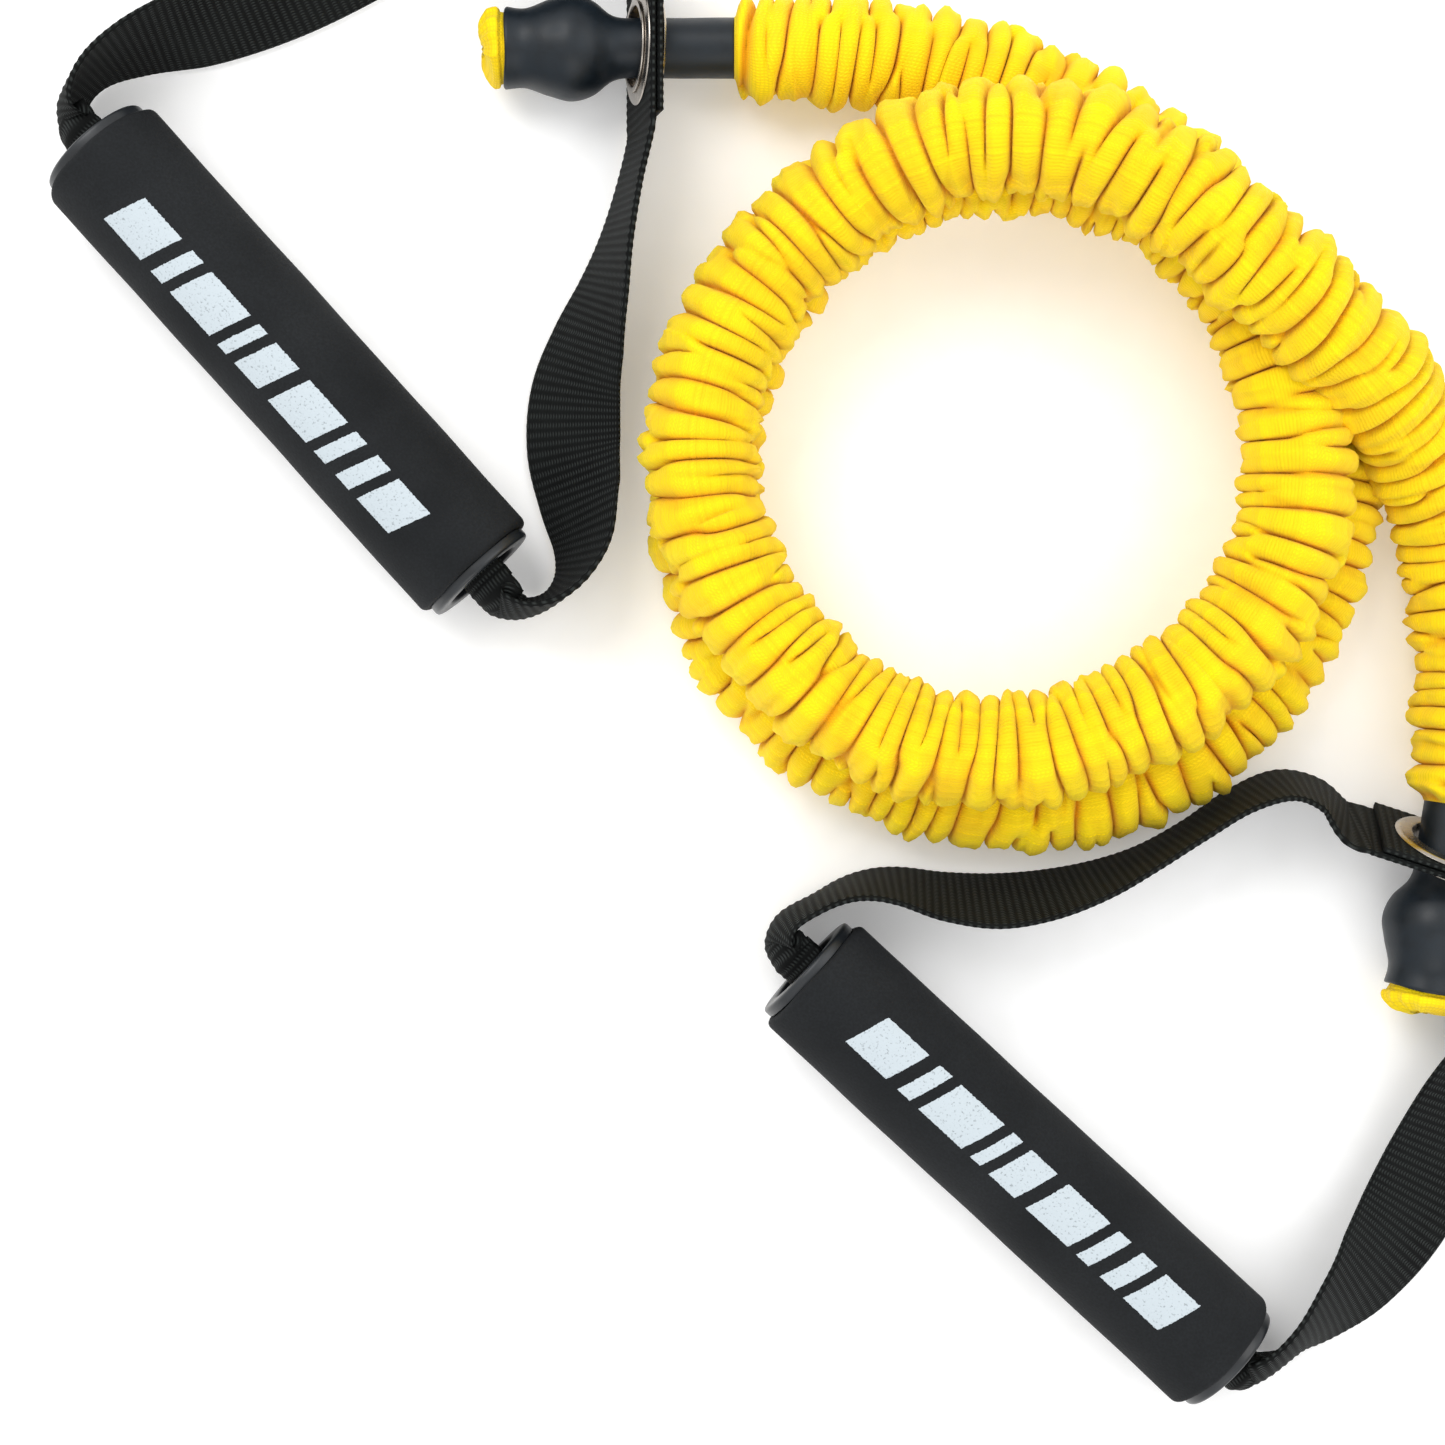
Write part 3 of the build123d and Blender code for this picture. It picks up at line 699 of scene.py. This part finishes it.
# Extruded nitrile foam: matt black with fine cut cells, and pale screen-printed ink that misses the pits
def foamMaterial():
    material, tree, place = newMaterial("extrudedNitrileFoam")
    uv = addNode(tree, "ShaderNodeUVMap", uv_map="fabric").outputs["UV"]
    cells = noise(tree, place, 1700.0, 3.0)
    clouds = noise(tree, place, 45.0, 4.0)
    pores = addNode(tree, "ShaderNodeTexVoronoi", {"Vector": place, "Scale": 1100.0}).outputs["Distance"]
    rubber = twoTone(tree, clouds, foamSet["dark"], foamSet["light"], 0.3, 0.7)
    grained = mixed(tree, 1.0, rubber, remap(tree, cells, 0.35, 0.65, 0.8, 1.3), "MULTIPLY")
    # The print's mask: slanted bars along the grip, cut off above and below
    parts = addNode(tree, "ShaderNodeSeparateXYZ", {"Vector": uv})
    around, along = parts.outputs["X"], parts.outputs["Y"]
    ragged = maths(tree, "MULTIPLY_ADD", cells, 0.0006, -0.0003)
    leaning = maths(tree, "MULTIPLY_ADD", around, foamSet["printSlant"], along)
    shifted = maths(tree, "ADD", leaning, ragged)
    half = foamSet["printLength"] / 2
    share = remap(tree, shifted, -half, half, 0.0, 1.0, clamp=False)
    ramp = addNode(tree, "ShaderNodeValToRGB", {"Fac": share})
    ramp.color_ramp.interpolation = "CONSTANT"
    white, black = (1, 1, 1, 1), (0, 0, 0, 1)
    stops = [(0.005 + 0.99 * at, black if k % 2 else white) for k, at in enumerate(foamSet["bars"])]
    ramp.color_ramp.elements[0].color = black
    ramp.color_ramp.elements[1].position = stops[0][0]
    ramp.color_ramp.elements[1].color = white
    for at, colour in stops[1:]:
        ramp.color_ramp.elements.new(at).color = colour
    reach = maths(tree, "ABSOLUTE", maths(tree, "ADD", around, ragged))
    inside = maths(tree, "LESS_THAN", reach, foamSet["printHeight"] / 2)
    mask = maths(tree, "MULTIPLY", ramp.outputs["Color"], inside)
    ink = maths(tree, "MULTIPLY", mask, remap(tree, cells, 0.3, 0.42, 0.55, 0.96))
    relief = bump(tree, cells, 0.5, 0.00018)
    return shaded(material, {
        "Base Color": mixed(tree, ink, grained, linearColour(foamSet["ink"])),
        "Roughness": remap(tree, cells, 0.3, 0.7, 0.82, 0.94),
        "Normal": bump(tree, pores, 0.35, 0.00015, relief),
        "Specular IOR Level": 0.22,
    })


# Hard plastics and latex differ in colour and gloss; each has faint flow marks from its mould or former
def smoothFormedMaterial(name, low, high, roughness):
    material, tree, place = newMaterial(name)
    clouds = noise(tree, place, 160.0, 4.0)
    fine = noise(tree, place, 2200.0, 2.0)
    return shaded(material, {
        "Base Color": twoTone(tree, clouds, low, high, 0.3, 0.7),
        "Roughness": remap(tree, clouds, 0.3, 0.7, roughness, roughness + 0.14),
        "Normal": bump(tree, fine, 0.12, 0.00008),
    })


capSet = {
    "bore": 0.0094,
    "spigot": 0.0104,
    "flange": 0.014,
    "spigotLength": 0.014,
    "flangeThickness": 0.0025,
    "rounding": 0.0011,
}


def makeGrip(name, side):
    size = foamSet
    place = turnPlace((*side["gripCenter"], webbingSet["gripHeight"]), flatDirection(side["gripAngle"]))
    half, outer, bore, lip = size["length"] / 2, size["radius"], size["bore"], size["lip"]
    wall = [(outer, h, 0) for h in np.linspace(-half + 0.004, half - 0.004, 60)]
    outline = roundedOutline([(bore, -half, 0.0008), (outer, -half, lip)] + wall
                             + [(outer, half, lip), (bore, half, 0.0008)], 7)
    phases = np.random.default_rng(len(name)).uniform(0, 2 * math.pi, 6)

    def dented(radius, height, turn):
        wave = (np.sin(height * 60 + turn + phases[0]) + np.sin(height * 130 - 2 * turn + phases[1])
                + 0.6 * np.sin(height * 260 + 3 * turn + phases[2]))
        atOuter = np.clip((radius - bore) / (outer - bore), 0, 1)
        atEnd = np.clip((np.abs(height) - half + 0.004) / 0.004, 0, 1)
        slump = 0.0003 * np.sin(2 * turn + phases[3]) + 0.0002 * np.sin(5 * turn + phases[4])
        return (radius - size["dent"] * (1 + wave / 2.6) * atOuter * 0.6,
                height + np.sign(height) * slump * atEnd * atOuter)

    grip = lathePiece(name + "FoamGrip", outline, 160, place, foam, "foam", name + "_grip",
                      [name + "_foam_grip"], shape=dented,
                      front=math.radians(size["printTurn"][name]), girth=size["radius"])
    capTop, rounding = half + capSet["flangeThickness"], capSet["rounding"]
    cap = [
        (capSet["bore"], half - capSet["spigotLength"], 0.0002),
        (capSet["spigot"], half - capSet["spigotLength"], 0.0003),
        (capSet["spigot"], half, 0),
        (capSet["flange"] - 0.0001, half, 0.0003),
        (capSet["flange"], capTop, rounding),
        (capSet["bore"], capTop, rounding),
    ]
    flipped = place @ Matrix.Rotation(math.pi, 4, "X")
    for capName, capPlace in (("front", place), ("back", flipped)):
        lathePiece(f"{name}{capName.title()}Cap", roundedOutline(cap, 7), 96, capPlace, capPlastic,
                   "cap_plastic", name + "_grip", [f"{name}_{capName}_cap"])


# Band ends: a rubber sleeve over the fabric, the tube and the ball that stops them at the eyelet
bandEndSet = {
    "neck": 0.007,
    "bulge": 0.0123,
    "waist": 0.0092,
    "rim": 0.0096,
    "eyeletToBall": 0.0175,
    "ballToRim": 0.015,
    "rubberWall": 0.0014,
    "fabricWall": 0.0007,
    "fit": 0.0001,
    "tipLength": 0.0057,
    "tipDip": 0.0009,
    "pleats": 9,
    "dark": "091117",
    "bloom": "141F28",
}


# Dipped rubber, stretched over the ball: blue-black, with a cloudy bloom that blurs its highlights
def rubberMaterial():
    material, tree, place = newMaterial("dippedRubber")
    bloom = noise(tree, place, 120.0, 6.0, 0.65)
    fine = noise(tree, place, 1500.0, 3.0)
    relief = bump(tree, bloom, 0.25, 0.0002)
    return shaded(material, {
        "Base Color": twoTone(tree, bloom, bandEndSet["dark"], bandEndSet["bloom"], 0.35, 0.75),
        "Roughness": remap(tree, bloom, 0.3, 0.7, 0.36, 0.56),
        "Normal": bump(tree, fine, 0.15, 0.00006, relief),
        "Specular IOR Level": 0.38,
    })


def bandEndProfile(ballAt, inset, steps=70):
    size = bandEndSet
    rise, fall = size["bulge"] - size["neck"], size["bulge"] - size["waist"]
    corners = np.array([
        (size["neck"], 0), (size["neck"], ballAt - 0.014), (size["neck"] + 0.15 * rise, ballAt - 0.0095),
        (size["neck"] + 0.72 * rise, ballAt - 0.0055), (size["bulge"], ballAt),
        (size["waist"] + 0.62 * fall, ballAt + 0.005), (size["waist"], ballAt + 0.011),
        (size["rim"], ballAt + size["ballToRim"])])
    heights = np.linspace(0, corners[-1, 1], steps)
    slopes = np.gradient(corners[:, 0], corners[:, 1])
    slopes[0] = slopes[1] = slopes[4] = 0
    radii = []
    for h in heights:
        k = min(int(np.searchsorted(corners[:, 1], h, side="right")) - 1, len(corners) - 2)
        run = corners[k + 1, 1] - corners[k, 1]
        s = (h - corners[k, 1]) / run
        near = corners[k, 0] * (2 * s ** 3 - 3 * s ** 2 + 1) + slopes[k] * run * (s ** 3 - 2 * s ** 2 + s)
        far = corners[k + 1, 0] * (3 * s ** 2 - 2 * s ** 3) + slopes[k + 1] * run * (s ** 3 - s ** 2)
        radii.append(near + far)
    return [(r - inset, h) for r, h in zip(radii, heights)]


def makeBandEnd(name, side):
    size = bandEndSet
    place = turnPlace(side["neckStart"], flatDirection(side["heading"]))
    ballAt = side["eyeletAt"] + size["eyeletToBall"]
    rimAt = ballAt + size["ballToRim"]
    phases = np.random.default_rng(len(name) + 5).uniform(0, 2 * math.pi, 9)
    outer = bandEndProfile(ballAt, 0)
    inner = bandEndProfile(ballAt, size["rubberWall"])
    lip = [(outer[-1][0] - 0.0003, rimAt + 0.0003), (inner[-1][0] + 0.0003, rimAt + 0.0003)]

    def uneven(radius, height, turn):
        free = np.clip((height - 0.004) / 0.01, 0, 1)
        lump = (np.sin(height * 210 + 2 * turn + phases[0]) + np.sin(height * 340 - 3 * turn + phases[1])
                + np.sin(3 * turn + phases[2]) + 0.5 * np.sin(height * 700 + turn + phases[3]))
        edge = np.clip((height - rimAt + 0.002) / 0.002, 0, 1)
        slant = 0.00035 * np.sin(turn + phases[4]) + 0.0002 * np.sin(3 * turn + phases[5])
        return radius - 0.00011 * (1 + lump / 3.5) * free * (radius > 0.006), height + edge * slant

    lathePiece(name + "RubberSleeve", outer + lip + inner[::-1], 128, place, rubber, "rubber_sleeve",
               "band", [name + "_end_sleeve"], shape=uneven)
    depth = size["rubberWall"] + size["fit"]
    layerOut = bandEndProfile(ballAt, depth)
    layerIn = bandEndProfile(ballAt, depth + size["fabricWall"])
    rim = layerOut[-1][0]
    tipAt, dipAt = rimAt + size["tipLength"], rimAt + size["tipLength"] - size["tipDip"]
    tip = roundedOutline([(rim + 0.0012, rimAt + 0.0012, 0.0014), (rim + 0.0011, rimAt + 0.0034, 0.0016),
                          (rim * 0.72, tipAt - 0.0001, 0.0012), (rim * 0.3, tipAt, 0.001),
                          (0.0, dipAt, 0)], 7)[:-1]
    dip = [(r, dipAt + size["tipDip"] * (r / (rim * 0.3)) ** 2) for r in np.linspace(rim * 0.3, 0.0, 7)]
    floor = [(r, rimAt) for r in np.linspace(0.0, layerIn[-1][0], 4)]

    def gathered(radius, height, turn):
        out = np.clip((height - rimAt) / 0.0012, 0, 1) * np.clip(radius / 0.004, 0, 1)
        bend = turn + 0.35 * np.sin(2 * turn + phases[6])
        pleat = 1 - 2 * np.abs(np.sin(size["pleats"] * bend / 2 + 90 * (height - rimAt))) ** 0.7
        lump = np.sin(turn + phases[7]) + 0.6 * np.sin(2 * turn + phases[8])
        return (radius + out * (0.00042 * pleat + 0.0004 * lump),
                height + out * np.clip((height - rimAt) / 0.005, 0, 1) * (0.0003 * pleat + 0.0006 * lump))

    lathePiece(name + "FabricEnd", layerOut + tip + dip + floor + layerIn[::-1], 144, place, sleeveKnit,
               "knit_fabric", "band", [name + "_sleeve_end"], shape=gathered, girth=0.0085)


# Eyelets, rolled over through both layers of webbing
eyeletSet = {
    "bore": 0.00925,
    "barrel": 0.00985,
    "flange": 0.0135,
    "stack": 0.001675,      # half of the two layers of webbing
    "flangeThickness": 0.0008,
    "roll": 0.0008,
    "step": 0.0018,
    "nickel": "C4BDB4",
    "smear": "A69E95",
}


# Nickel-plated brass, stamped and tumbled: a warm mirror blurred by handling
def platedMaterial():
    material, tree, place = newMaterial("nickelPlatedBrass")
    smears = noise(tree, place, 210.0, 5.0)
    fine = noise(tree, place, 2600.0, 2.0)
    return shaded(material, {
        "Base Color": twoTone(tree, smears, eyeletSet["smear"], eyeletSet["nickel"], 0.3, 0.7),
        "Metallic": 1.0,
        "Roughness": remap(tree, smears, 0.3, 0.7, 0.16, 0.34),
        "Normal": bump(tree, fine, 0.08, 0.00005),
    })


def makeEyelet(name, side):
    size = eyeletSet
    middle, along, width, normal = eyeletPlace(side)
    place = turnPlace(middle, normal)
    bore, barrel, flange, stack = size["bore"], size["barrel"], size["flange"], size["stack"]
    top = stack + size["flangeThickness"]
    rolled, play = barrel + size["roll"], 0.00005
    body = [
        (bore, -top, 0.0007),
        (flange - 0.0008, -top + 0.0001, 0.0005),
        (flange, -stack, 0.0002),
        (barrel, -stack, 0.0001),
        (barrel, top + play, 0.0001),
        (rolled, top + play, 0.0002),
        (rolled, top + 0.0005, 0.0003),
        (bore, top + 0.0006, 0.0006),
    ]
    washer = [
        (barrel + play, stack, 0.0001),
        (flange, stack, 0.0002),
        (flange - 0.0002, stack + 0.0004, 0.0003),
        (barrel + size["step"], top - 0.0001, 0.0003),
        (barrel + play, top, 0.0001),
    ]
    lathePiece(name + "EyeletBarrel", roundedOutline(body, 6), 144, place, plated, "eyelet_metal",
               name + "_loop", [name + "_eyelet"])
    lathePiece(name + "EyeletWasher", roundedOutline(washer, 6), 144, place, plated, "eyelet_metal",
               name + "_loop", [name + "_eyelet_washer"])


foam = foamMaterial()
capPlastic = smoothFormedMaterial("glossyMouldedPlastic", "16191C", "202428", 0.28)
corePlastic = smoothFormedMaterial("extrudedPlasticTube", "17181A", "232527", 0.45)
ballPlastic = smoothFormedMaterial("turnedPlasticBall", "C9C7C0", "DAD8D2", 0.4)
latex = smoothFormedMaterial("dippedLatexTube", "BFA66E", "CDB67F", 0.42)
rubber = rubberMaterial()
plated = platedMaterial()
for sideName, sideSet in loopSet.items():
    makeGrip(sideName, sideSet)
    makeBandEnd(sideName, sideSet)
    makeEyelet(sideName, sideSet)
    for nodeName, hiddenMaterial, hiddenSlot in (("grip_core", corePlastic, "cap_plastic"),
                                                 ("tube_end", latex, "latex"),
                                                 ("stop_ball", ballPlastic, "ball_plastic")):
        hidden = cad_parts[f"{sideName}_{nodeName}"]
        hidden.data.materials.clear()
        hidden.data.materials.append(hiddenMaterial)
    print(sideName, "grip, band end and eyelet")


# White floor and soft studio light
studioSet = {
    "floorSize": 16.0,
    "floorLow": "F4F4F3",
    "floorHigh": "F8F8F8",
    "floorGlow": 0.16,      # painted glow: the floor gives off light of its own, which lifts the shadows on it
    "worldStrength": 0.95,
    "worldColour": "FFFFFF",
}
lightSet = [
    # name, place, aims at, size, watts
    ("keySoftbox", (-0.55, 0.75, 1.15), (0, 0, 0), 0.9, 9.0),
    ("fillSoftbox", (0.85, 0.35, 1.0), (0, 0, 0), 1.0, 4.0),
    ("backSoftbox", (0.1, -0.95, 0.9), (0, 0, 0), 0.9, 2.6),
]


# Acrylic sheet, sanded white, with a painted glow of its own that lifts its shadows: no gloss, hardly any
# grain
def matteFloorMaterial():
    material, tree, place = newMaterial("sandedWhiteAcrylic")
    grain = noise(tree, place, 180.0, 5.0)
    return shaded(material, {
        "Base Color": twoTone(tree, grain, studioSet["floorLow"], studioSet["floorHigh"], 0.3, 0.7),
        "Roughness": 0.9,
        "Normal": bump(tree, grain, 0.1, 0.0001),
        # Painted glow: the floor emits light, though it is no lamp
        "Emission Color": linearColour("FFFFFF"),
        "Emission Strength": studioSet["floorGlow"],
    })


def makeStudio():
    half = studioSet["floorSize"] / 2
    mesh = bpy.data.meshes.new("studioFloor")
    corners = [(-half, -half, 0), (half, -half, 0), (half, half, 0), (-half, half, 0)]
    mesh.from_pydata(corners, [], [(0, 1, 2, 3)])
    mesh.materials.append(matteFloorMaterial())
    floor = bpy.data.objects.new("studioFloor", mesh)
    bpy.context.scene.collection.objects.link(floor)
    world = bpy.data.worlds.new("studioWorld")
    world.use_nodes = True
    background = world.node_tree.nodes["Background"]
    background.inputs["Color"].default_value = linearColour(studioSet["worldColour"])
    background.inputs["Strength"].default_value = studioSet["worldStrength"]
    bpy.context.scene.world = world
    for name, place, aim, size, watts in lightSet:
        data = bpy.data.lights.new(name, "AREA")
        data.shape = "DISK"
        data.size = size
        data.energy = watts
        light = bpy.data.objects.new(name, data)
        light.location = place
        light.rotation_euler = (Vector(aim) - Vector(place)).to_track_quat("-Z", "Y").to_euler()
        bpy.context.scene.collection.objects.link(light)
    bpy.context.scene.view_settings.view_transform = "Standard"
    print("studio")


makeStudio()
